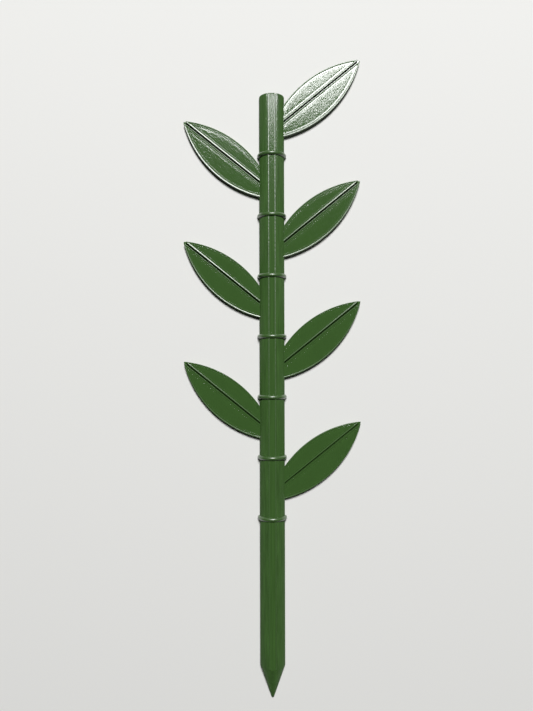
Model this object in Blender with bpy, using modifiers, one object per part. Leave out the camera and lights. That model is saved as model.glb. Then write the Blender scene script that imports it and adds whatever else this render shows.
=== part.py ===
"""Bamboo-style plant stake with leaves, printed in one piece and lying on its flat back.

Frame: metres, +Z up from the flat back, +Y along the stem towards its square end,
+X to the right. The origin is the centre of the bounding box's underside.
"""

import math

import bmesh
import bpy

MM = 0.001

# Stem: a half-round rod with raised rings, a square end and a pointed end
STEM_RADIUS = 5.2 * MM
SQUARE_END_TO_FIRST_RING = 24.5 * MM
RING_PITCH = 25.0 * MM
RING_COUNT = 7
LAST_RING_TO_POINT = 74.8 * MM
RING_BEAD_RADIUS = 0.85 * MM
POINT_LENGTH = 13.8 * MM
POINT_NOSE_RADIUS = 0.6 * MM

# Leaves: lens-shaped plates right and left in turn, their tips set out from the ring spacing
LEAF_LENGTH = 50.2 * MM
LEAF_WIDTH = 16.1 * MM
LEAF_THICKNESS = 1.6 * MM
LEAF_TIP_ROUND = 0.3 * MM
LEAF_TILT = math.radians(40.8)
LEAF_TIP_REACH = 36.8 * MM
LEAF_TIP_RISE = 14.6 * MM

# Midrib groove: from the leaf's tip to where its line meets the stem's side
GROOVE_WIDTH = 0.5 * MM
GROOVE_DEPTH = 1.2 * MM
GROOVE_FOOT_DROP = 10.9 * MM

# Smoothness of the turned and curved shapes
STEM_SIDES = 48
RING_STEPS = 10
NOSE_STEPS = 4
LEAF_EDGE_STEPS = 28
LEAF_TIP_STEPS = 6

# How far shapes reach past the planes that trim them
OVERCUT = 1.0 * MM

PLASTIC_GREEN = (0.046, 0.107, 0.025, 1.0)
PLASTIC_ROUGHNESS = 0.42
PLASTIC_METALLIC = 0.0


def leaf_arc_radius():
    """Radius of a leaf's two edges, from its length and width."""
    sagitta = LEAF_WIDTH / 2
    return (LEAF_LENGTH ** 2 / 4 + sagitta ** 2) / (2 * sagitta)


def tip_round_centre():
    """Distance from the leaf's middle to the centre of its rounded tip."""
    radius = leaf_arc_radius()
    arc_offset = radius - LEAF_WIDTH / 2
    return math.sqrt((radius - LEAF_TIP_ROUND) ** 2 - arc_offset ** 2)


def top_of_leaf_above_ring():
    """Distance along the stem from a leaf's ring to the highest edge of its tip."""
    lost_at_tip = LEAF_LENGTH / 2 - tip_round_centre()
    return LEAF_TIP_RISE - lost_at_tip * math.sin(LEAF_TILT) + LEAF_TIP_ROUND


# Places along the stem, with the first leaf's tip and the point equally far from Y = 0
FIRST_RING_Y = (LAST_RING_TO_POINT + (RING_COUNT - 2) * RING_PITCH - top_of_leaf_above_ring()) / 2
SQUARE_END_Y = FIRST_RING_Y + SQUARE_END_TO_FIRST_RING
LAST_RING_Y = FIRST_RING_Y - (RING_COUNT - 1) * RING_PITCH
POINT_Y = LAST_RING_Y - LAST_RING_TO_POINT


def remove_scene_objects():
    """Leave the scene empty."""
    for item in list(bpy.data.objects):
        bpy.data.objects.remove(item, do_unlink=True)


def new_collection(name):
    """Add a collection to the scene."""
    collection = bpy.data.collections.new(name)
    bpy.context.scene.collection.children.link(collection)
    return collection


def plastic_material():
    """Olive-green printed plastic."""
    material = bpy.data.materials.new("green_plastic")
    material.use_nodes = True
    shader = material.node_tree.nodes["Principled BSDF"]
    shader.inputs["Base Color"].default_value = PLASTIC_GREEN
    shader.inputs["Roughness"].default_value = PLASTIC_ROUGHNESS
    shader.inputs["Metallic"].default_value = PLASTIC_METALLIC
    return material


def ring_points(ring_y):
    """Half circle of one ring's bead, from its upper to its lower side."""
    points = []
    for step in range(RING_STEPS + 1):
        angle = math.pi / 2 - math.pi * step / RING_STEPS
        radius = STEM_RADIUS + RING_BEAD_RADIUS * math.cos(angle)
        points.append((radius, ring_y + RING_BEAD_RADIUS * math.sin(angle)))
    return points


def pointed_end_points():
    """Cone from the stem's full radius down to the round nose at the point."""
    nose_centre_y = POINT_Y + POINT_NOSE_RADIUS
    straight = POINT_LENGTH - POINT_NOSE_RADIUS
    slant = math.acos(POINT_NOSE_RADIUS / math.hypot(STEM_RADIUS, straight))
    cone_angle = slant - math.atan2(straight, STEM_RADIUS)
    points = [(STEM_RADIUS, POINT_Y + POINT_LENGTH)]
    for step in range(NOSE_STEPS):
        angle = cone_angle - (cone_angle + math.pi / 2) * step / NOSE_STEPS
        radius = POINT_NOSE_RADIUS * math.cos(angle)
        points.append((radius, nose_centre_y + POINT_NOSE_RADIUS * math.sin(angle)))
    points.append((0.0, POINT_Y))
    return points


def stem_profile():
    """Outer side of the stem from its square end to its point, as radius and height."""
    points = [(0.0, SQUARE_END_Y), (STEM_RADIUS, SQUARE_END_Y)]
    for ring in range(RING_COUNT):
        points += ring_points(FIRST_RING_Y - ring * RING_PITCH)
    return points + pointed_end_points()


def turned_stem(collection):
    """Round stem, turned about its own axis and laid along Y."""
    profile = stem_profile()
    mesh = bpy.data.meshes.new("stem_profile")
    edges = [(index, index + 1) for index in range(len(profile) - 1)]
    mesh.from_pydata([(radius, 0.0, height) for radius, height in profile], edges, [])
    stem = bpy.data.objects.new("bamboo_stake", mesh)
    collection.objects.link(stem)
    stem.rotation_euler.x = -math.pi / 2
    screw = stem.modifiers.new("turn", "SCREW")
    screw.axis = "Z"
    screw.angle = 2 * math.pi
    screw.steps = STEM_SIDES
    screw.render_steps = STEM_SIDES
    screw.use_merge_vertices = True
    screw.merge_threshold = 0.00001
    return stem


def lens_outline():
    """Leaf outline along X: two equal arcs that meet in rounded tips."""
    radius = leaf_arc_radius()
    arc_offset = radius - LEAF_WIDTH / 2
    tip_x = tip_round_centre()
    lean = math.atan2(arc_offset, tip_x)
    points = []
    for side in (1, -1):
        for step in range(LEAF_TIP_STEPS):
            angle = -lean + 2 * lean * step / LEAF_TIP_STEPS
            x = tip_x + LEAF_TIP_ROUND * math.cos(angle)
            points.append((side * x, side * LEAF_TIP_ROUND * math.sin(angle)))
        for step in range(LEAF_EDGE_STEPS):
            angle = lean + (math.pi - 2 * lean) * step / LEAF_EDGE_STEPS
            x = radius * math.cos(angle)
            points.append((side * x, side * (radius * math.sin(angle) - arc_offset)))
    return points


def extruded_mesh(name, outline, thickness):
    """Closed mesh of a flat outline, drawn as a 2D curve and extruded both ways."""
    curve = bpy.data.curves.new(name + "_curve", "CURVE")
    curve.dimensions = "2D"
    curve.fill_mode = "BOTH"
    curve.extrude = thickness / 2
    spline = curve.splines.new("POLY")
    spline.points.add(len(outline) - 1)
    for point, (x, y) in zip(spline.points, outline):
        point.co = (x, y, 0.0, 1.0)
    spline.use_cyclic_u = True
    drawn = bpy.data.objects.new(name + "_curve", curve)
    bpy.context.scene.collection.objects.link(drawn)
    graph = bpy.context.evaluated_depsgraph_get()
    mesh = bpy.data.meshes.new_from_object(drawn.evaluated_get(graph))
    mesh.name = name
    bpy.data.objects.remove(drawn, do_unlink=True)
    weld_mesh(mesh)
    return mesh


def weld_mesh(mesh):
    """Join the loose caps of an extruded outline to its sides."""
    working = bmesh.new()
    working.from_mesh(mesh)
    bmesh.ops.remove_doubles(working, verts=working.verts, dist=0.000001)
    bmesh.ops.recalc_face_normals(working, faces=working.faces)
    working.to_mesh(mesh)
    working.free()


def apply_modifiers(item):
    """Replace an object's mesh by its evaluated form and drop its modifiers."""
    graph = bpy.context.evaluated_depsgraph_get()
    finished = bpy.data.meshes.new_from_object(item.evaluated_get(graph))
    item.modifiers.clear()
    item.data = finished


def leaf_blade(number, leaf_mesh, collection):
    """Leaf with its straight midrib groove, placed above its ring."""
    side = 1 if number % 2 == 0 else -1
    ring_above_y = FIRST_RING_Y + (1 - number) * RING_PITCH
    tip = (side * LEAF_TIP_REACH, ring_above_y + LEAF_TIP_RISE)
    turn = LEAF_TILT if side > 0 else math.pi - LEAF_TILT
    half = LEAF_LENGTH / 2
    leaf = bpy.data.objects.new(f"leaf_{number + 1}", leaf_mesh.copy())
    leaf.location.x = tip[0] - half * math.cos(turn)
    leaf.location.y = tip[1] - half * math.sin(turn)
    leaf.location.z = (LEAF_THICKNESS - OVERCUT) / 2
    leaf.rotation_euler.z = turn
    collection.objects.link(leaf)

    foot = (side * STEM_RADIUS, ring_above_y - GROOVE_FOOT_DROP)
    groove = groove_cutter(tip, foot)
    cut = leaf.modifiers.new("midrib_groove", "BOOLEAN")
    cut.operation = "DIFFERENCE"
    cut.solver = "EXACT"
    cut.object = groove
    bpy.context.view_layer.update()
    apply_modifiers(leaf)
    bpy.data.objects.remove(groove, do_unlink=True)
    return leaf


def groove_cutter(tip, foot):
    """Box along a leaf's midrib, running past its tip and into the stem."""
    run = math.dist(tip, foot) + 2 * OVERCUT
    bpy.ops.mesh.primitive_cube_add(size=1.0)
    cutter = bpy.context.object
    cutter.name = "groove_cutter"
    cutter.scale = (run, GROOVE_WIDTH, 2 * GROOVE_DEPTH)
    cutter.rotation_euler.z = math.atan2(tip[1] - foot[1], tip[0] - foot[0])
    cutter.location = ((tip[0] + foot[0]) / 2, (tip[1] + foot[1]) / 2, LEAF_THICKNESS)
    bpy.context.view_layer.update()
    return cutter


def join_leaves(stem, leaves):
    """Fuse every leaf of a collection into the stem by one union."""
    union = stem.modifiers.new("leaves", "BOOLEAN")
    union.operation = "UNION"
    union.solver = "EXACT"
    union.operand_type = "COLLECTION"
    union.collection = leaves
    bpy.context.view_layer.update()
    apply_modifiers(stem)
    for leaf in list(leaves.objects):
        bpy.data.objects.remove(leaf, do_unlink=True)
    bpy.data.collections.remove(leaves)


def flatten_back(stem, cutters):
    """Trim everything below Z = 0, which leaves the flat back."""
    length = 2 * (SQUARE_END_Y - POINT_Y)
    width = 4 * LEAF_TIP_REACH
    depth = 4 * STEM_RADIUS
    bpy.ops.mesh.primitive_cube_add(size=1.0)
    block = bpy.context.object
    block.name = "below_back_cutter"
    block.scale = (width, length, depth)
    block.location.z = -depth / 2
    for collection in list(block.users_collection):
        collection.objects.unlink(block)
    cutters.objects.link(block)
    block.hide_render = True
    block.display_type = "WIRE"
    trim = stem.modifiers.new("flat_back", "BOOLEAN")
    trim.operation = "DIFFERENCE"
    trim.solver = "EXACT"
    trim.object = block


def shade_round_faces(item):
    """Shade the turned faces smooth and keep the real edges sharp."""
    item.data.shade_smooth()
    item.data.set_sharp_from_angle(angle=math.radians(30))


def build():
    """Make the whole stake."""
    remove_scene_objects()
    stake = new_collection("bamboo_plant_stake")
    cutters = new_collection("cutters")
    leaves = new_collection("leaf_blades")
    stem = turned_stem(stake)
    leaf_mesh = extruded_mesh("leaf_blade", lens_outline(), LEAF_THICKNESS + OVERCUT)
    for number in range(RING_COUNT):
        leaf_blade(number, leaf_mesh, leaves)
    bpy.data.meshes.remove(leaf_mesh)
    join_leaves(stem, leaves)
    flatten_back(stem, cutters)
    stem.data.materials.clear()
    stem.data.materials.append(plastic_material())
    shade_round_faces(stem)


build()
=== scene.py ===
import math

import bmesh
import bpy
import numpy as np
from mathutils import Euler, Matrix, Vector


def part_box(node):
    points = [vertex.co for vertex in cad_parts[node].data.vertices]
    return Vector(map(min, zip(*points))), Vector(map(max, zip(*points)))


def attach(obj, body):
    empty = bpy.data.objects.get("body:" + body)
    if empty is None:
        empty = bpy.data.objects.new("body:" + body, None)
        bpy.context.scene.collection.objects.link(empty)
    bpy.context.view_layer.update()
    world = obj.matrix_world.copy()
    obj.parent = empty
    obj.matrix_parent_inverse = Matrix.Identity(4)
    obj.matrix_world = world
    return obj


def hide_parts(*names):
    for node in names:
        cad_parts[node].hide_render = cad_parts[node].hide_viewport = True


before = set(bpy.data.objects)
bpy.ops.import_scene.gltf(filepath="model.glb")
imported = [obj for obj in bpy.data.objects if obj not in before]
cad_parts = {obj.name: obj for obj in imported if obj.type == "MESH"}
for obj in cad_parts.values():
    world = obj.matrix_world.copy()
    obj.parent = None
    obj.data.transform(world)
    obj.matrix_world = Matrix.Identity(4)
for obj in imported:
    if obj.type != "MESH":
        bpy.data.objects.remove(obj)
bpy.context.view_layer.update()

# Printed bamboo-style plant stake: layered stem, rings and leaves with their extruded lines.
# Frame: metres, +Z up from the flat back, +Y along the stem to its square end.

MM = 0.001
NODE = "bamboo_stake"
BODY = "root"

NODE_LOW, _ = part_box(NODE)

# Stem
STEM_RADIUS = 5.2 * MM
RING_PITCH = 25.0 * MM
RING_COUNT = 7
LAST_RING_TO_POINT = 74.8 * MM
SQUARE_END_TO_FIRST_RING = 24.5 * MM
RING_BEAD_RADIUS = 0.85 * MM
POINT_LENGTH = 13.8 * MM
POINT_NOSE_RADIUS = 0.6 * MM

# Leaves
LEAF_LENGTH = 50.2 * MM
LEAF_WIDTH = 16.1 * MM
LEAF_THICKNESS = 1.6 * MM
LEAF_TILT = math.radians(40.8)
LEAF_TIP_REACH = 36.8 * MM
LEAF_TIP_RISE = 14.6 * MM
GROOVE_WIDTH = 0.5 * MM
GROOVE_DEPTH = 1.2 * MM
GROOVE_FOOT_DROP = 10.9 * MM

# Print
LAYER = 0.2 * MM
LINE_WIDTH = 0.42 * MM
CORNER_ROUND = 0.2 * MM
SHARP_ANGLE = math.radians(50)

POINT_Y = NODE_LOW.y
LAST_RING_Y = POINT_Y + LAST_RING_TO_POINT
FIRST_RING_Y = LAST_RING_Y + (RING_COUNT - 1) * RING_PITCH
SQUARE_END_Y = FIRST_RING_Y + SQUARE_END_TO_FIRST_RING
RING_PLACES = [FIRST_RING_Y - ring * RING_PITCH for ring in range(RING_COUNT)]
LEAF_ARC_RADIUS = (LEAF_LENGTH ** 2 / 4 + LEAF_WIDTH ** 2 / 4) / LEAF_WIDTH


# Stem: one skin whose sections are stacks of printed layers. Its rings are cores that the
# smooth beads cover.

# One wall line seen end on: insets from the outline, and heights above its layer's floor where
# the layer is covered but for its edge, and where it is the topmost
WALL_INSETS = [inset * MM for inset in (0.075, 0.0, 0.04, 0.12, 0.42)]
EDGE_HEIGHTS = [height * MM for height in (0.0, 0.085, 0.14, 0.178, 0.2)]
CREST_HEIGHTS = [height * MM for height in (0.0, 0.09, 0.175, 0.212, 0.165)]
CREST_REACH = 1.0 * MM
LEAST_WIDTH = 0.01 * MM
STEM_LAYERS = 26
RING_LAYERS = 30
END_INSETS = [0.0, 0.02 * MM, 0.1 * MM]
STRAIGHT_STEP = 6.0 * MM
RING_CORE_RADIUS = 0.64 * MM
RING_CLEARANCE = 0.05 * MM
RING_STEPS = 11
BISECTIONS = 40
MERGE_DISTANCE = 0.0005 * MM


def cone_slope():
    """Fall of the point's radius along the stem, tangent to the round nose."""
    straight = POINT_LENGTH - POINT_NOSE_RADIUS
    slant = math.acos(POINT_NOSE_RADIUS / math.hypot(STEM_RADIUS, straight))
    return math.tan(slant - math.atan2(straight, STEM_RADIUS))


def radius_at(y):
    """Radius that the turned form has at a place along the stem."""
    shoulder_y = POINT_Y + POINT_LENGTH
    if y < shoulder_y:
        nose_y = POINT_Y + POINT_NOSE_RADIUS
        cone = STEM_RADIUS - (shoulder_y - y) * cone_slope()
        tangent_y = nose_y + POINT_NOSE_RADIUS * math.sin(math.atan(cone_slope()))
        if y >= tangent_y:
            return cone
        return math.sqrt(max(POINT_NOSE_RADIUS ** 2 - (y - nose_y) ** 2, 0.0))
    for ring_y in RING_PLACES:
        if abs(y - ring_y) < RING_CORE_RADIUS:
            return STEM_RADIUS + math.sqrt(RING_CORE_RADIUS ** 2 - (y - ring_y) ** 2)
    return STEM_RADIUS


def end_of_layer(floor_z):
    """Lowest Y that a stem layer reaches on the cone or the nose."""
    low, high = POINT_Y, POINT_Y + POINT_LENGTH
    for _ in range(BISECTIONS):
        middle = (low + high) / 2
        if radius_at(middle) > floor_z:
            high = middle
        else:
            low = middle
    return high


POINT_ENDS = [end_of_layer(layer * LAYER) for layer in range(STEM_LAYERS)]


def ring_layer_reach(layer):
    """How far a layer above the stem's crest runs either side of its ring."""
    rise = layer * LAYER - STEM_RADIUS
    return math.sqrt(max(RING_CORE_RADIUS ** 2 - max(rise, 0.0) ** 2, 0.0))


def distance_to_end(y, layer):
    """Distance along the stem from a place to where its layer stops."""
    if layer < STEM_LAYERS:
        return max(min(SQUARE_END_Y - y, y - POINT_ENDS[layer]), 0.0)
    nearest = min(abs(y - ring_y) for ring_y in RING_PLACES)
    return max(ring_layer_reach(layer) - nearest, 0.0)


def half_width(y, layer):
    """Half the width of a layer at a place along the stem."""
    radius = radius_at(y)
    floor_z = layer * LAYER
    if radius <= floor_z:
        return 0.0
    width = math.sqrt(radius ** 2 - floor_z ** 2)
    if width < LEAST_WIDTH:
        return 0.0
    gap = SQUARE_END_Y - y
    if gap < CORNER_ROUND:
        width -= CORNER_ROUND - math.sqrt(CORNER_ROUND ** 2 - (CORNER_ROUND - gap) ** 2)
    return width


def wall_top(inset, to_end, heights):
    """Height of a layer's upper surface over its floor."""
    return float(np.interp(min(inset, to_end), WALL_INSETS[1:], heights[1:]))


def undercut(width):
    """Inset of the foot of a layer's edge."""
    return min(WALL_INSETS[0], width / 2)


def section(y):
    """Right half of the stem's section as points (x, z, inset), from the back up to the crest."""
    points = []
    valley_z = 0.0
    for layer in range(RING_LAYERS):
        width = half_width(y, layer)
        if width <= 0.0:
            points += [(0.0, valley_z, 0.0)] * len(WALL_INSETS)
            continue
        to_end = distance_to_end(y, layer)
        above = half_width(y, layer + 1) if layer + 1 < RING_LAYERS else 0.0
        reach = width - (above - undercut(above))
        floor_z = layer * LAYER
        heights = CREST_HEIGHTS if reach > CREST_REACH else EDGE_HEIGHTS
        first = undercut(width)
        points.append((width - first, valley_z, WALL_INSETS[0]))
        points.append((width, max(floor_z + heights[1], valley_z), 0.0))
        for inset in WALL_INSETS[2:]:
            held = min(inset, reach)
            points.append((width - held, floor_z + wall_top(held, to_end, heights), held))
        valley_z = floor_z + wall_top(reach, to_end, heights)
    points.append((0.0, valley_z, 0.0))
    return points


def stem_stations():
    """Places along the stem where its section changes."""
    places = {SQUARE_END_Y - inset for inset in END_INSETS + [CORNER_ROUND, LINE_WIDTH]}
    for ring_y in RING_PLACES:
        places.add(ring_y + RING_CORE_RADIUS + RING_CLEARANCE)
        places.add(ring_y - RING_CORE_RADIUS - RING_CLEARANCE)
        for step in range(-RING_STEPS, RING_STEPS + 1):
            places.add(ring_y + RING_CORE_RADIUS * math.sin(math.pi / 2 * step / RING_STEPS))
    for end in POINT_ENDS:
        for inset in END_INSETS:
            places.add(end + inset)
    places.add(POINT_Y + POINT_LENGTH)
    steps = int((SQUARE_END_Y - POINT_Y - POINT_LENGTH) / STRAIGHT_STEP)
    for step in range(1, steps):
        y = POINT_Y + POINT_LENGTH + step * STRAIGHT_STEP
        if min(abs(y - ring_y) for ring_y in RING_PLACES) > 2 * RING_CORE_RADIUS:
            places.add(y)
    return sorted(places)


def stem_mesh():
    """Skin of the stem, its rings and its point, closed at the back and the square end."""
    stations = stem_stations()
    work = bmesh.new()
    rows = []
    for y in stations:
        half = section(y)
        at_square_end = y >= SQUARE_END_Y - 1e-9
        mirrored = [(-x, z, inset) for x, z, inset in reversed(half[:-1])]
        row = []
        for x, z, inset in half + mirrored:
            back = min(inset, WALL_INSETS[0]) if at_square_end else 0.0
            row.append(work.verts.new((x, y - back, z)))
        rows.append(row)
    count = len(rows[0])
    for first, second in zip(rows, rows[1:]):
        for index in range(count):
            following = (index + 1) % count
            work.faces.new((first[index], first[following], second[following], second[index]))
    end = rows[-1]
    crest = count // 2
    for index in range(crest - 1):
        work.faces.new((end[index], end[index + 1], end[-2 - index], end[-1 - index]))
    work.faces.new((end[crest - 1], end[crest], end[crest + 1]))
    work.faces.new(tuple(reversed(rows[0])))
    bmesh.ops.remove_doubles(work, verts=work.verts, dist=MERGE_DISTANCE)
    bmesh.ops.dissolve_degenerate(work, edges=work.edges, dist=MERGE_DISTANCE)
    bmesh.ops.recalc_face_normals(work, faces=work.faces)
    mesh = bpy.data.meshes.new("stake_stem")
    work.to_mesh(mesh)
    work.free()
    return mesh


def new_object(name, mesh):
    """Put a finished mesh into the scene."""
    item = bpy.data.objects.new(name, mesh)
    bpy.context.scene.collection.objects.link(item)
    return item


# Leaves: stacked outlines with bulging layer edges, in two halves above the groove's floor

ROUND_STEPS = 5
ARC_STEPS = 44
LINE_STEPS = 30
# Edge of one layer from its foot up, as (inset, height), and the insets of the stack's flat top
LEAF_EDGE_SECTION = [(inset * MM, height * MM)
                     for inset, height in ((0.05, 0.0), (0.0, 0.1), (0.03, 0.165))]
CAP_INSETS = (0.12 * MM, 0.16 * MM)
LEAF_LIFT = 0.004 * MM
GROOVE_EASE = 0.1 * MM
GROOVE_FLOOR = LEAF_THICKNESS - GROOVE_DEPTH
HALF_SINK = 0.02 * MM
LEAF_CAP = LEAF_THICKNESS - 0.12 * MM


def tip_and_foot():
    """Tip of a right leaf's groove and its foot on the stem, from the leaf's ring line."""
    tip = Vector((LEAF_TIP_REACH, LEAF_TIP_RISE))
    foot = Vector((STEM_RADIUS, -GROOVE_FOOT_DROP))
    return tip, foot


def leaf_axes():
    """Middle of a right leaf and the directions along and across it."""
    along = Vector((math.cos(LEAF_TILT), math.sin(LEAF_TILT)))
    across = Vector((-along.y, along.x))
    tip, _ = tip_and_foot()
    return tip - along * LEAF_LENGTH / 2, along, across


def arc_centre(half):
    """Centre of the arc that bounds the upper (1) or lower (-1) half of a leaf."""
    middle, _, across = leaf_axes()
    return middle - across * half * (LEAF_ARC_RADIUS - LEAF_WIDTH / 2)


def groove_axes():
    """Tip of the groove and the directions along it, inwards, and across it, upwards."""
    tip, foot = tip_and_foot()
    along = (foot - tip).normalized()
    return tip, along, Vector((along.y, -along.x))


def circle_line(centre, radius, start, along):
    """Both distances along a line at which it meets a circle, the nearer first."""
    to_start = start - centre
    b = to_start.dot(along)
    root = math.sqrt(b * b - to_start.length_squared + radius ** 2)
    return -b - root, -b + root


def half_outline(half, inset, corner=CORNER_ROUND):
    """Closed outline of half a right leaf, drawn inwards by an inset, anticlockwise."""
    centre = arc_centre(half)
    start, along, up = groove_axes()
    side = start + up * half * (GROOVE_WIDTH / 2 + GROOVE_EASE + inset)
    radius = LEAF_ARC_RADIUS - inset
    nose = side + up * half * corner
    reach = circle_line(centre, radius - corner, nose, along)
    nose = nose + along * reach[0]
    outward = (nose - centre).normalized()
    points = []
    from_angle = math.atan2(-up.y * half, -up.x * half)
    to_angle = math.atan2(outward.y, outward.x)
    turn = (to_angle - from_angle) % (2 * math.pi)
    if half < 0:
        turn -= 2 * math.pi
    for step in range(ROUND_STEPS):
        angle = from_angle + turn * step / ROUND_STEPS
        points.append(nose + corner * Vector((math.cos(angle), math.sin(angle))))
    inner = side + along * circle_line(centre, radius, side, along)[1]
    from_angle = to_angle
    to_angle = math.atan2(inner.y - centre.y, inner.x - centre.x)
    turn = (to_angle - from_angle + math.pi) % (2 * math.pi) - math.pi
    for step in range(ARC_STEPS):
        angle = from_angle + turn * step / ARC_STEPS
        points.append(centre + radius * Vector((math.cos(angle), math.sin(angle))))
    foot = nose - up * half * corner
    for step in range(LINE_STEPS):
        points.append(inner.lerp(foot, step / LINE_STEPS))
    if half < 0:
        points.reverse()
    return points


def whole_outline(inset):
    """Closed outline of a whole right leaf, anticlockwise, with rounded tips."""
    middle, along, across = leaf_axes()
    radius = LEAF_ARC_RADIUS - inset
    offset = LEAF_ARC_RADIUS - LEAF_WIDTH / 2
    corner = CORNER_ROUND
    tip_x = math.sqrt((radius - corner) ** 2 - offset ** 2)
    lean = math.atan2(offset, tip_x)
    points = []
    for side in (1, -1):
        for step in range(ROUND_STEPS):
            angle = -lean + 2 * lean * step / ROUND_STEPS
            x = tip_x + corner * math.cos(angle)
            y = corner * math.sin(angle)
            points.append(middle + (along * x + across * y) * side)
        for step in range(ARC_STEPS):
            angle = lean + (math.pi - 2 * lean) * step / ARC_STEPS
            x = radius * math.cos(angle)
            y = radius * math.sin(angle) - offset
            points.append(middle + (along * x + across * y) * side)
    return points


def add_stack(work, outline_of, floor_z, layers, cap_z):
    """Add a closed stack of printed layers that share an outline."""
    levels = []
    for layer in range(layers):
        for inset, height in LEAF_EDGE_SECTION:
            levels.append((inset, floor_z + layer * LAYER + height))
    levels += [(inset, cap_z) for inset in CAP_INSETS]
    rings = []
    for inset, z in levels:
        ring = [work.verts.new((point.x, point.y, z)) for point in outline_of(inset)]
        rings.append(ring)
    for lower, upper in zip(rings, rings[1:]):
        for index in range(len(lower)):
            following = (index + 1) % len(lower)
            work.faces.new((lower[index], lower[following], upper[following], upper[index]))
    work.faces.new(tuple(reversed(rings[0])))
    work.faces.new(tuple(rings[-1]))


def right_leaf_mesh():
    """Right leaf at its ring line: a whole base with two halves on it."""
    work = bmesh.new()
    base_layers = round(GROOVE_FLOOR / LAYER)
    add_stack(work, whole_outline, LEAF_LIFT, base_layers, GROOVE_FLOOR)
    upper_layers = round(GROOVE_DEPTH / LAYER)
    for half in (1, -1):
        def outline(inset, half=half):
            return half_outline(half, inset)
        add_stack(work, outline, GROOVE_FLOOR - HALF_SINK, upper_layers, LEAF_CAP)
    bmesh.ops.triangulate(work, faces=[face for face in work.faces if len(face.verts) > 4])
    bmesh.ops.recalc_face_normals(work, faces=work.faces)
    mesh = bpy.data.meshes.new("right_leaf")
    work.to_mesh(mesh)
    work.free()
    return mesh


# Geometry Nodes: the row of leaves, and extruded lines swept along paths

def node(tree, kind, inputs=None, **settings):
    """Add a node, with its settings and its inputs' values or links."""
    made = tree.nodes.new(kind)
    for name, value in settings.items():
        setattr(made, name, value)
    for key, value in (inputs or {}).items():
        if isinstance(value, bpy.types.NodeSocket):
            tree.links.new(value, made.inputs[key])
        else:
            made.inputs[key].default_value = value
    return made


def math_of(tree, operation, first, second):
    """Result of a Math node."""
    return node(tree, "ShaderNodeMath", {0: first, 1: second}, operation=operation).outputs[0]


def new_tree(name, kind, inputs, outputs):
    """Empty node tree with named sockets; returns it with its input and output nodes."""
    tree = bpy.data.node_groups.new(name, kind)
    for names, direction in ((inputs, "INPUT"), (outputs, "OUTPUT")):
        for socket, kind_of in names.items():
            tree.interface.new_socket(socket, in_out=direction, socket_type=kind_of)
    return tree, tree.nodes.new("NodeGroupInput"), tree.nodes.new("NodeGroupOutput")


ROW_SIZES = {
    "First Leaf Y": "NodeSocketFloat",
    "Pitch": "NodeSocketFloat",
    "Right Leaves": "NodeSocketInt",
    "Left Leaves": "NodeSocketInt",
}
ROW_VALUES = {
    "First Leaf Y": FIRST_RING_Y + RING_PITCH,
    "Pitch": RING_PITCH,
    "Right Leaves": (RING_COUNT + 1) // 2,
    "Left Leaves": RING_COUNT // 2,
}
LINE_SIZES = {
    "Line Width": "NodeSocketFloat",
    "Line Height": "NodeSocketFloat",
    "Waver": "NodeSocketFloat",
    "Waver Scale": "NodeSocketFloat",
    "Seed": "NodeSocketFloat",
}


def leaf_row_tree():
    """Group that repeats a right leaf's geometry down the stem, and mirrors it for the left."""
    tree, source, target = new_tree(
        "leaf_row", "GeometryNodeTree",
        {"Geometry": "NodeSocketGeometry", **ROW_SIZES},
        {"Right": "NodeSocketGeometry", "Left": "NodeSocketGeometry"})
    given = source.outputs
    step = math_of(tree, "MULTIPLY", given["Pitch"], -2.0)
    offset = node(tree, "ShaderNodeCombineXYZ", {"Y": step}).outputs[0]
    second_y = math_of(tree, "SUBTRACT", given["First Leaf Y"], given["Pitch"])
    rows = (
        ("Right", given["First Leaf Y"], given["Right Leaves"], 1.0),
        ("Left", second_y, given["Left Leaves"], -1.0),
    )
    for name, first_y, count, mirror in rows:
        place = node(tree, "ShaderNodeCombineXYZ", {"Y": first_y}).outputs[0]
        line = node(tree, "GeometryNodeMeshLine", {
            "Count": count, "Start Location": place, "Offset": offset})
        copies = node(tree, "GeometryNodeInstanceOnPoints", {
            "Points": line.outputs[0], "Instance": given["Geometry"], "Scale": (mirror, 1.0, 1.0)})
        whole = node(tree, "GeometryNodeRealizeInstances", {"Geometry": copies.outputs[0]})
        tree.links.new(whole.outputs[0], target.inputs[name])
    return tree


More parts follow.
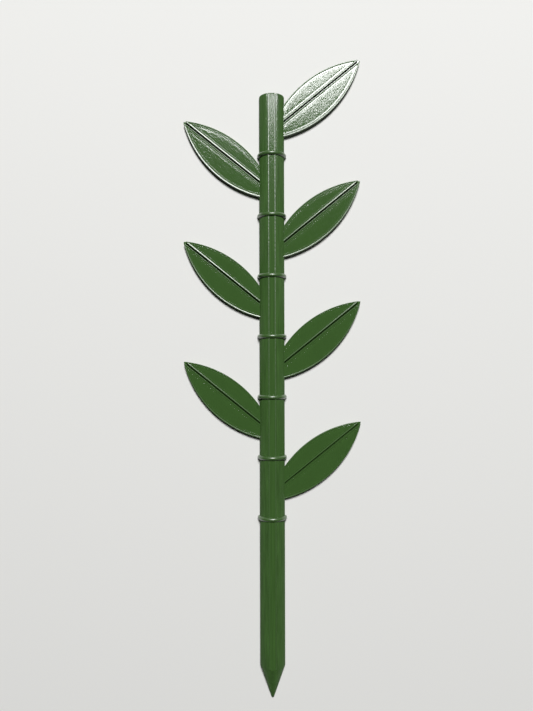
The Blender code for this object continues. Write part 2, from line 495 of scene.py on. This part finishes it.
def swept_line_tree(name, outline):
    """Group that sweeps a line of plastic, wavering in height, along curves.

    The outline is the line seen end on, as shares of its width and height, from its right
    to its left edge.
    """
    tree, source, target = new_tree(
        name, "GeometryNodeTree",
        {"Curve": "NodeSocketGeometry", **LINE_SIZES}, {"Mesh": "NodeSocketGeometry"})
    given = source.outputs
    noise = node(tree, "ShaderNodeTexNoise", {
        "Scale": given["Waver Scale"], "W": given["Seed"], "Detail": 1.0}, noise_dimensions="4D")
    centred = math_of(tree, "SUBTRACT", noise.outputs["Fac"], 0.5)
    rise = math_of(tree, "MULTIPLY", centred, given["Waver"])
    lift = node(tree, "ShaderNodeCombineXYZ", {"Z": rise}).outputs[0]
    waver = node(tree, "GeometryNodeSetPosition", {"Geometry": given["Curve"], "Offset": lift})
    upright = node(tree, "GeometryNodeSetCurveNormal", {"Curve": waver.outputs[0]}, mode="Z_UP")

    last = len(outline) - 1
    index = node(tree, "GeometryNodeInputIndex").outputs[0]
    share = math_of(tree, "DIVIDE", index, float(last))
    sides = []
    for axis in (0, 1):
        curve = node(tree, "ShaderNodeFloatCurve", {"Value": share})
        points = curve.mapping.curves[0].points
        while len(points) < len(outline):
            points.new(0.5, 0.5)
        for number, point in enumerate(points):
            point.location = (number / last, outline[number][axis])
            point.handle_type = "VECTOR"
        curve.mapping.update()
        sides.append(curve.outputs[0])
    across = math_of(tree, "SUBTRACT", 0.5, sides[0])
    x = math_of(tree, "MULTIPLY", across, given["Line Width"])
    height = math_of(tree, "MULTIPLY", sides[1], given["Line Height"])
    y = math_of(tree, "MULTIPLY", height, -1.0)
    place = node(tree, "ShaderNodeCombineXYZ", {"X": x, "Y": y}).outputs[0]
    points = node(tree, "GeometryNodeMeshLine", {"Count": len(outline)})
    shaped = node(tree, "GeometryNodeSetPosition", {
        "Geometry": points.outputs[0], "Position": place})
    profile = node(tree, "GeometryNodeMeshToCurve", {"Mesh": shaped.outputs[0]})
    closed = node(tree, "GeometryNodeSetSplineCyclic", {
        "Geometry": profile.outputs[0], "Cyclic": True})
    sweep = node(tree, "GeometryNodeCurveToMesh", {
        "Curve": upright.outputs[0], "Profile Curve": closed.outputs[0], "Fill Caps": True})
    outward = node(tree, "GeometryNodeFlipFaces", {"Mesh": sweep.outputs[0]})
    smooth = node(tree, "GeometryNodeSetShadeSmooth", {"Geometry": outward.outputs[0]})
    tree.links.new(smooth.outputs[0], target.inputs[0])
    return tree


def finish_tree(tree, geometry, plastic, target):
    """End a tree in real geometry with its material."""
    whole = node(tree, "GeometryNodeRealizeInstances", {"Geometry": geometry})
    coat = node(tree, "GeometryNodeSetMaterial", {
        "Geometry": whole.outputs[0], "Material": plastic})
    tree.links.new(coat.outputs[0], target.inputs[0])


def leaf_bodies_tree(leaf_row):
    """Tree that makes all the leaves from one right leaf."""
    tree, source, target = new_tree(
        "leaf_bodies", "GeometryNodeTree",
        {"Geometry": "NodeSocketGeometry", **ROW_SIZES, "Plastic": "NodeSocketMaterial"},
        {"Geometry": "NodeSocketGeometry"})
    given = source.outputs
    inputs = {name: given[name] for name in ("Geometry", *ROW_SIZES)}
    row = node(tree, "GeometryNodeGroup", node_tree=leaf_row)
    link_named(tree, row, inputs)
    left = node(tree, "GeometryNodeFlipFaces", {"Mesh": row.outputs["Left"]})
    both = node(tree, "GeometryNodeJoinGeometry")
    tree.links.new(row.outputs["Right"], both.inputs[0])
    tree.links.new(left.outputs[0], both.inputs[0])
    finish_tree(tree, both.outputs[0], given["Plastic"], target)
    return tree


def link_named(tree, made, inputs):
    """Link a group node's inputs by name."""
    for name, value in inputs.items():
        tree.links.new(value, made.inputs[name])


def leaf_lines_tree(name, leaf_row, swept_line):
    """Tree that sweeps lines along paths drawn on one right leaf, on every leaf."""
    tree, source, target = new_tree(
        name, "GeometryNodeTree",
        {"Geometry": "NodeSocketGeometry", **ROW_SIZES, **LINE_SIZES,
         "Plastic": "NodeSocketMaterial"},
        {"Geometry": "NodeSocketGeometry"})
    given = source.outputs
    row = node(tree, "GeometryNodeGroup", node_tree=leaf_row)
    link_named(tree, row, {key: given[key] for key in ("Geometry", *ROW_SIZES)})
    right = node(tree, "GeometryNodeMeshToCurve", {"Mesh": row.outputs["Right"]})
    left = node(tree, "GeometryNodeMeshToCurve", {"Mesh": row.outputs["Left"]})
    turned = node(tree, "GeometryNodeReverseCurve", {"Curve": left.outputs[0]})
    both = node(tree, "GeometryNodeJoinGeometry")
    tree.links.new(right.outputs[0], both.inputs[0])
    tree.links.new(turned.outputs[0], both.inputs[0])
    line = node(tree, "GeometryNodeGroup", node_tree=swept_line)
    link_named(tree, line, {"Curve": both.outputs[0], **{key: given[key] for key in LINE_SIZES}})
    finish_tree(tree, line.outputs[0], given["Plastic"], target)
    return tree


def stem_lines_tree(name, swept_line):
    """Tree that sweeps lines along paths drawn on the stem."""
    tree, source, target = new_tree(
        name, "GeometryNodeTree",
        {"Geometry": "NodeSocketGeometry", **LINE_SIZES, "Plastic": "NodeSocketMaterial"},
        {"Geometry": "NodeSocketGeometry"})
    given = source.outputs
    curve = node(tree, "GeometryNodeMeshToCurve", {"Mesh": given["Geometry"]})
    line = node(tree, "GeometryNodeGroup", node_tree=swept_line)
    link_named(tree, line, {"Curve": curve.outputs[0], **{key: given[key] for key in LINE_SIZES}})
    finish_tree(tree, line.outputs[0], given["Plastic"], target)
    return tree


def grown(name, mesh, tree, values):
    """Run a Geometry Nodes tree on a mesh and keep the result as a plain mesh."""
    item = new_object(name, mesh)
    modifier = item.modifiers.new(tree.name, "NODES")
    modifier.node_group = tree
    for socket in tree.interface.items_tree:
        if socket.in_out == "INPUT" and socket.name in values:
            modifier[socket.identifier] = values[socket.name]
    graph = bpy.context.evaluated_depsgraph_get()
    finished = bpy.data.meshes.new_from_object(item.evaluated_get(graph))
    item.modifiers.clear()
    item.data = finished
    finished.name = name
    return item


# Paths of the extruded lines

# Walls and fill of a leaf
LINE_BED_Z = LEAF_CAP - 0.005 * MM
WALL_BED_Z = LINE_BED_Z + 0.02 * MM
RIM_INSET = 0.32 * MM
SECOND_INSET = 0.98 * MM
LEAST_CORNER = 0.05 * MM
FILL_INSET = 1.42 * MM
LEAST_FILL = 0.3 * LINE_WIDTH
FILL_STEP = 1.0 * MM
FILL_DIP = 0.024 * MM
FILL_DIP_REACH = 0.4 * MM
RETURN_DROP = 0.012 * MM
TURN_LEAD = 0.16 * MM
NEAR_TURN_DROP = 0.008 * MM
U_TURN = ((0.1, 0.3), (0.5, 0.5), (0.9, 0.3))

# Stem's top and rings
CREST_Z = (STEM_LAYERS - 1) * LAYER + CREST_HEIGHTS[-1] - 0.02 * MM
CREST_MARGIN = 1.5 * LINE_WIDTH
CREST_STEP = 0.3 * MM
CREST_OFFSETS = [offset * MM for offset in (-0.8, -0.4, 0.0, 0.4, 0.8)]
CREST_EDGES = [-1.25 * MM, 1.35 * MM]
RING_BAND_REACH = math.radians(88.5)
RING_BAND_STEPS = 60
BEAD_STEPS = 8

# Lines seen end on, outer edge first, as shares of their width and height
RIM_LINE = ((0.0, 0.3), (0.05, 0.9), (0.14, 1.0), (0.3, 0.99), (0.42, 0.9), (0.54, 0.775),
            (0.66, 0.595), (0.76, 0.39), (0.84, 0.36), (0.94, 0.35), (1.0, 0.0))
SECOND_LINE = ((0.0, 0.0), (0.12, 0.75), (0.3, 1.0), (0.7, 1.0), (0.88, 0.75), (1.0, 0.0))
FILL_LINE = ((0.0, 0.0), (0.1, 0.6), (0.25, 0.9), (0.5, 1.0), (0.75, 0.9), (0.9, 0.6), (1.0, 0.0))
RING_BEAD = tuple(
    (0.5 - 0.5 * math.cos(math.pi * step / BEAD_STEPS), math.sin(math.pi * step / BEAD_STEPS))
    for step in range(BEAD_STEPS + 1))


def path_mesh(name, paths):
    """Mesh of bare edges along several paths, given as (points, closed)."""
    verts, edges = [], []
    for points, closed in paths:
        first = len(verts)
        verts += [tuple(point) for point in points]
        edges += [(first + index, first + index + 1) for index in range(len(points) - 1)]
        if closed:
            edges.append((len(verts) - 1, first))
    mesh = bpy.data.meshes.new(name)
    mesh.from_pydata(verts, edges, [])
    return mesh


def leaf_wall_paths(inset, z):
    """Closed paths round both halves of a right leaf at an inset."""
    corner = max(CORNER_ROUND - inset, LEAST_CORNER)
    paths = []
    for half in (1, -1):
        points = [(point.x, point.y, z) for point in half_outline(half, inset, corner)]
        paths.append((points, True))
    return paths


def fill_columns(half):
    """Places along a right leaf of the fill lines of one half, each with its two ends."""
    centre = arc_centre(half)
    radius = LEAF_ARC_RADIUS - FILL_INSET
    start, along, up = groove_axes()
    side = start + up * half * (GROOVE_WIDTH / 2 + FILL_INSET)
    columns = []
    x = STEM_RADIUS - LINE_WIDTH
    while x < LEAF_TIP_REACH:
        reach = radius ** 2 - (x - centre.x) ** 2
        if reach > 0:
            arc_y = centre.y + half * math.sqrt(reach)
            line_y = side.y + (x - side.x) * along.y / along.x
            if half * (arc_y - line_y) > LEAST_FILL:
                columns.append((x, line_y, arc_y))
        x += LINE_WIDTH
    return columns


def fill_path(half, z):
    """Zigzag of lines along the stem's direction that fills half a right leaf.

    The lines dip before each turn, and every second one lies a little lower.
    """
    columns = fill_columns(half)
    points = []
    for number, (x, line_y, arc_y) in enumerate(columns):
        going_out = number % 2 == 0
        begin, end = (line_y, arc_y) if going_out else (arc_y, line_y)
        length = abs(end - begin)
        steps = max(round(length / FILL_STEP), 1)
        shares = [step / steps for step in range(steps + 1)]
        if length > 4 * TURN_LEAD:
            shares[1:1] = [TURN_LEAD / length]
            shares[-1:-1] = [1 - TURN_LEAD / length]
        level = z if going_out else z - RETURN_DROP
        for share in shares:
            to_end = length * min(share, 1 - share)
            dip = FILL_DIP * max(1 - to_end / FILL_DIP_REACH, 0.0) ** 2
            points.append((x, begin + (end - begin) * share, level - dip))
        if number + 1 < len(columns):
            following = columns[number + 1][2 if going_out else 1]
            direction = half if going_out else -half
            for across, beyond in U_TURN:
                turn_y = end + (following - end) * across + direction * beyond * LINE_WIDTH
                drop = FILL_DIP if direction > 0 else FILL_DIP + NEAR_TURN_DROP
                points.append((x + across * LINE_WIDTH, turn_y, z - drop))
    return [(points, False)]


def crest_paths(z, offsets):
    """Straight lines along the stem's topmost layer, from ring to ring and down to the point."""
    ends = [SQUARE_END_Y - CREST_MARGIN]
    for ring_y in RING_PLACES:
        ends += [ring_y + RING_BEAD_RADIUS, ring_y - RING_BEAD_RADIUS]
    ends.append(POINT_ENDS[STEM_LAYERS - 1] + CREST_MARGIN)
    paths = []
    for high, low in zip(ends[::2], ends[1::2]):
        steps = max(int((high - low) / CREST_STEP), 1)
        for x in offsets:
            points = [(x, high + (low - high) * step / steps, z) for step in range(steps + 1)]
            paths.append((points, False))
    return paths


def ring_paths():
    """Arc round each ring, on the stem's surface."""
    paths = []
    for ring_y in RING_PLACES:
        points = []
        for step in range(RING_BAND_STEPS + 1):
            angle = RING_BAND_REACH * (2 * step / RING_BAND_STEPS - 1)
            x, z = STEM_RADIUS * math.sin(angle), STEM_RADIUS * math.cos(angle)
            points.append((x, ring_y, z))
        paths.append((points, False))
    return paths


# Plastic

PLASTIC_COLOUR = (0.046, 0.107, 0.025, 1.0)

# Light and dark in the colour: from layer to layer, from line to line, or in all directions
LAYERED_MOTTLE = {
    "Colour Spread": 1.1, "Mottle Scale": 4500.0, "Mottle Stretch": (0.05, 0.02, 1.0)}
LENGTHWISE_MOTTLE = {
    "Colour Spread": 0.9, "Mottle Scale": 2600.0, "Mottle Stretch": (1.0, 0.02, 0.05)}
EVEN_MOTTLE = {
    "Colour Spread": 0.12, "Mottle Scale": 900.0, "Mottle Stretch": (1.0, 1.0, 1.0)}

# Plastic by name: mottle, roughness and its spread, scale and stretch of the grain along Y,
# the grain's height, and weight of a second, clear sheen
PLASTICS = {
    "wall_plastic": (LAYERED_MOTTLE, 0.17, 0.1, 2200.0, 0.6, 0.015 * MM, 0.0),
    "line_plastic": (LENGTHWISE_MOTTLE, 0.16, 0.08, 2600.0, 0.7, 0.012 * MM, 0.0),
    "streak_plastic": (EVEN_MOTTLE, 0.34, 0.1, 3600.0, 1.0, 0.065 * MM, 1.0),
    "ring_plastic": (EVEN_MOTTLE, 0.36, 0.1, 2600.0, 1.0, 0.035 * MM, 1.0),
    "rim_plastic": (EVEN_MOTTLE, 0.24, 0.08, 2600.0, 0.7, 0.01 * MM, 0.0),
    "fill_plastic": (EVEN_MOTTLE, 0.125, 0.2, 1700.0, 0.7, 0.036 * MM, 0.0),
}
PLASTIC_IOR = 1.55
SHEEN_ROUGHNESS = 0.3


def surface_group():
    """Group for printed plastic: mottled colour, uneven gloss and a fine grain."""
    tree, source, target = new_tree(
        "printed_surface", "ShaderNodeTree",
        {"Colour": "NodeSocketColor", "Colour Spread": "NodeSocketFloat",
         "Mottle Scale": "NodeSocketFloat", "Mottle Stretch": "NodeSocketVector",
         "Roughness": "NodeSocketFloat", "Roughness Spread": "NodeSocketFloat",
         "Grain Scale": "NodeSocketFloat", "Grain Stretch": "NodeSocketVector"},
        {"Colour": "NodeSocketColor", "Roughness": "NodeSocketFloat",
         "Grain": "NodeSocketFloat"})
    given = source.outputs
    place = node(tree, "ShaderNodeTexCoord").outputs["Object"]
    drawn_out = node(tree, "ShaderNodeVectorMath", {
        0: place, 1: given["Mottle Stretch"]}, operation="MULTIPLY")
    mottle = node(tree, "ShaderNodeTexNoise", {
        "Vector": drawn_out.outputs[0], "Scale": given["Mottle Scale"], "Detail": 3.0})
    centred = math_of(tree, "SUBTRACT", mottle.outputs["Fac"], 0.5)
    shift = math_of(tree, "MULTIPLY", centred, given["Colour Spread"])
    value = math_of(tree, "ADD", shift, 1.0)
    coloured = node(tree, "ShaderNodeHueSaturation", {"Color": given["Colour"], "Value": value})
    tree.links.new(coloured.outputs[0], target.inputs["Colour"])
    stretched = node(tree, "ShaderNodeVectorMath", {
        0: place, 1: given["Grain Stretch"]}, operation="MULTIPLY")
    grain = node(tree, "ShaderNodeTexNoise", {
        "Vector": stretched.outputs[0], "Scale": given["Grain Scale"], "Detail": 2.0})
    tree.links.new(grain.outputs["Fac"], target.inputs["Grain"])
    uneven = math_of(tree, "SUBTRACT", grain.outputs["Fac"], 0.5)
    spread = math_of(tree, "MULTIPLY", uneven, given["Roughness Spread"])
    rough = math_of(tree, "ADD", spread, given["Roughness"])
    tree.links.new(rough, target.inputs["Roughness"])
    return tree


def printed_plastic(name, surface):
    """Semi-gloss green plastic with the printed surface's mottle and grain."""
    mottle, roughness, spread, scale, stretch, height, sheen = PLASTICS[name]
    material = bpy.data.materials.new(name)
    material.use_nodes = True
    tree = material.node_tree
    shader = tree.nodes["Principled BSDF"]
    group = node(tree, "ShaderNodeGroup", {
        "Colour": PLASTIC_COLOUR, **mottle, "Roughness": roughness, "Roughness Spread": spread,
        "Grain Scale": scale, "Grain Stretch": (1.0, stretch, 1.0)}, node_tree=surface)
    shader.inputs["IOR"].default_value = PLASTIC_IOR
    shader.inputs["Coat Weight"].default_value = sheen
    shader.inputs["Coat Roughness"].default_value = SHEEN_ROUGHNESS
    bump = node(tree, "ShaderNodeBump", {"Height": group.outputs["Grain"], "Distance": height})
    tree.links.new(group.outputs["Colour"], shader.inputs["Base Color"])
    tree.links.new(group.outputs["Roughness"], shader.inputs["Roughness"])
    tree.links.new(bump.outputs[0], shader.inputs["Normal"])
    return material


# Camera, floor and lights

CAMERA_OFFSET = (0.88 * MM, -83.9 * MM, 257.7 * MM)
CAMERA_TURN = (0.0038, 0.0124, -0.0023)
FOCAL_PIXELS = 618.7
LONG_SIDE_PIXELS = 711
SENSOR_MM = 36.0
FLOOR_SIZE = 6.0
FLOOR_DROP = 0.35 * MM
FLOOR_COLOUR = (0.78, 0.78, 0.76, 1.0)
FLOOR_ROUGHNESS = 0.9
BACKDROP_BRIGHTNESS = 0.6
SURROUND_LIGHT = 0.006

# Tilt from overhead and bearing from +Y towards +X in degrees, distance and diameter in metres,
# power in watts
KEY_LIGHT = (33.9, 6.0, 2.0, 0.68, 48.0)
FILL_LIGHT = (55.0, 90.0, 1.5, 1.6, 0.4)


def add_camera():
    """Camera straight above the stake, as the photograph was taken."""
    data = bpy.data.cameras.new("camera")
    data.sensor_width = SENSOR_MM
    data.lens = FOCAL_PIXELS * SENSOR_MM / LONG_SIDE_PIXELS
    data.clip_start = 0.01
    camera = bpy.data.objects.new("camera", data)
    bpy.context.scene.collection.objects.link(camera)
    camera.location = Vector((0.0, FIRST_RING_Y, 0.0)) + Vector(CAMERA_OFFSET)
    camera.rotation_euler = Euler(CAMERA_TURN)
    bpy.context.scene.camera = camera


def add_floor():
    """Plain pale floor, a little under the stake."""
    bpy.ops.mesh.primitive_plane_add(size=FLOOR_SIZE)
    floor = bpy.context.object
    floor.name = "floor"
    floor.location.z = -FLOOR_DROP
    material = bpy.data.materials.new("floor")
    material.use_nodes = True
    shader = material.node_tree.nodes["Principled BSDF"]
    shader.inputs["Base Color"].default_value = FLOOR_COLOUR
    shader.inputs["Roughness"].default_value = FLOOR_ROUGHNESS
    floor.data.materials.append(material)


def add_light(name, tilt, bearing, distance, size, power):
    """Round white light aimed at the stake."""
    data = bpy.data.lights.new(name, "AREA")
    data.shape = "DISK"
    data.size = size
    data.energy = power
    light = bpy.data.objects.new(name, data)
    bpy.context.scene.collection.objects.link(light)
    tilt, bearing = math.radians(tilt), math.radians(bearing)
    direction = Vector((
        math.sin(tilt) * math.sin(bearing),
        math.sin(tilt) * math.cos(bearing),
        math.cos(tilt),
    ))
    light.location = direction * distance
    light.rotation_euler = direction.to_track_quat("Z", "Y").to_euler()


def add_lights():
    """Key light from beyond the square end, weak fill from the right and a dim surround.

    The surround looks pale to the camera and lights the stake far less.
    """
    add_light("key_light", *KEY_LIGHT)
    add_light("fill_light", *FILL_LIGHT)
    world = bpy.data.worlds.new("surround")
    bpy.context.scene.world = world
    world.use_nodes = True
    background = world.node_tree.nodes["Background"]
    background.inputs["Color"].default_value = (1.0, 1.0, 1.0, 1.0)
    seen = node(world.node_tree, "ShaderNodeLightPath").outputs["Is Camera Ray"]
    strength = node(world.node_tree, "ShaderNodeMath", {
        0: seen, 1: BACKDROP_BRIGHTNESS, 2: SURROUND_LIGHT}, operation="MULTIPLY_ADD").outputs[0]
    world.node_tree.links.new(strength, background.inputs["Strength"])


# Pieces

# Swept lines by piece: plastic, width, height, waver in height and the waver's scale
SWEPT_LINES = {
    "leaf_rims": ("rim_plastic", 0.6 * MM, 0.1 * MM, 0.006 * MM, 900.0),
    "leaf_second_walls": ("line_plastic", 0.6 * MM, 0.008 * MM, 0.006 * MM, 900.0),
    "leaf_fill": ("fill_plastic", 0.42 * MM, 0.05 * MM, 0.006 * MM, 900.0),
    "stem_crest_lines": ("line_plastic", 0.44 * MM, 0.055 * MM, 0.006 * MM, 900.0),
    "stem_crest_edges": ("streak_plastic", 0.62 * MM, 0.1 * MM, 0.12 * MM, 1500.0),
    "ring_beads": ("ring_plastic", 1.76 * MM, 0.88 * MM, 0.0, 900.0),
}
WAVER_SEED = 3.0


def sharpened(item):
    """Smooth shading with sharp edges kept."""
    item.data.shade_smooth()
    item.data.set_sharp_from_angle(angle=SHARP_ANGLE)
    return item


def swept_piece(name, paths, tree, plastics):
    """One piece of swept lines, along paths on a right leaf or on the stem."""
    plastic, width, height, waver, waver_scale = SWEPT_LINES[name]
    return grown(name, path_mesh(name + "_paths", paths), tree, {
        **ROW_VALUES, "Line Width": width, "Line Height": height, "Waver": waver,
        "Waver Scale": waver_scale, "Seed": WAVER_SEED, "Plastic": plastics[plastic]})


def build():
    """Make, dress and place every piece."""
    surface = surface_group()
    plastics = {name: printed_plastic(name, surface) for name in PLASTICS}
    leaf_row = leaf_row_tree()
    fill_line = swept_line_tree("fill_line", FILL_LINE)
    rim_tree = leaf_lines_tree("leaf_rim_lines", leaf_row, swept_line_tree("rim_line", RIM_LINE))
    second_tree = leaf_lines_tree(
        "leaf_second_lines", leaf_row, swept_line_tree("second_line", SECOND_LINE))
    fill_tree = leaf_lines_tree("leaf_fill_lines", leaf_row, fill_line)
    stem_tree = stem_lines_tree("stem_lines", fill_line)
    ring_tree = stem_lines_tree("ring_lines", swept_line_tree("ring_bead", RING_BEAD))

    stem = new_object("stake_stem", stem_mesh())
    stem.data.materials.append(plastics["wall_plastic"])
    leaves = grown("stake_leaves", right_leaf_mesh(), leaf_bodies_tree(leaf_row), {
        **ROW_VALUES, "Plastic": plastics["wall_plastic"]})
    fill_paths = fill_path(1, LINE_BED_Z) + fill_path(-1, LINE_BED_Z)
    lines = (
        ("leaf_rims", leaf_wall_paths(RIM_INSET, WALL_BED_Z), rim_tree),
        ("leaf_second_walls", leaf_wall_paths(SECOND_INSET, WALL_BED_Z), second_tree),
        ("leaf_fill", fill_paths, fill_tree),
        ("stem_crest_lines", crest_paths(CREST_Z, CREST_OFFSETS), stem_tree),
        ("stem_crest_edges", crest_paths(CREST_Z, CREST_EDGES), stem_tree),
        ("ring_beads", ring_paths(), ring_tree),
    )
    pieces = [sharpened(stem), sharpened(leaves)]
    pieces += [swept_piece(name, paths, tree, plastics) for name, paths, tree in lines]
    for item in pieces:
        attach(item, BODY)
        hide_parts(NODE)


bpy.context.scene.view_settings.view_transform = "Standard"
add_camera()
add_floor()
add_lights()
build()
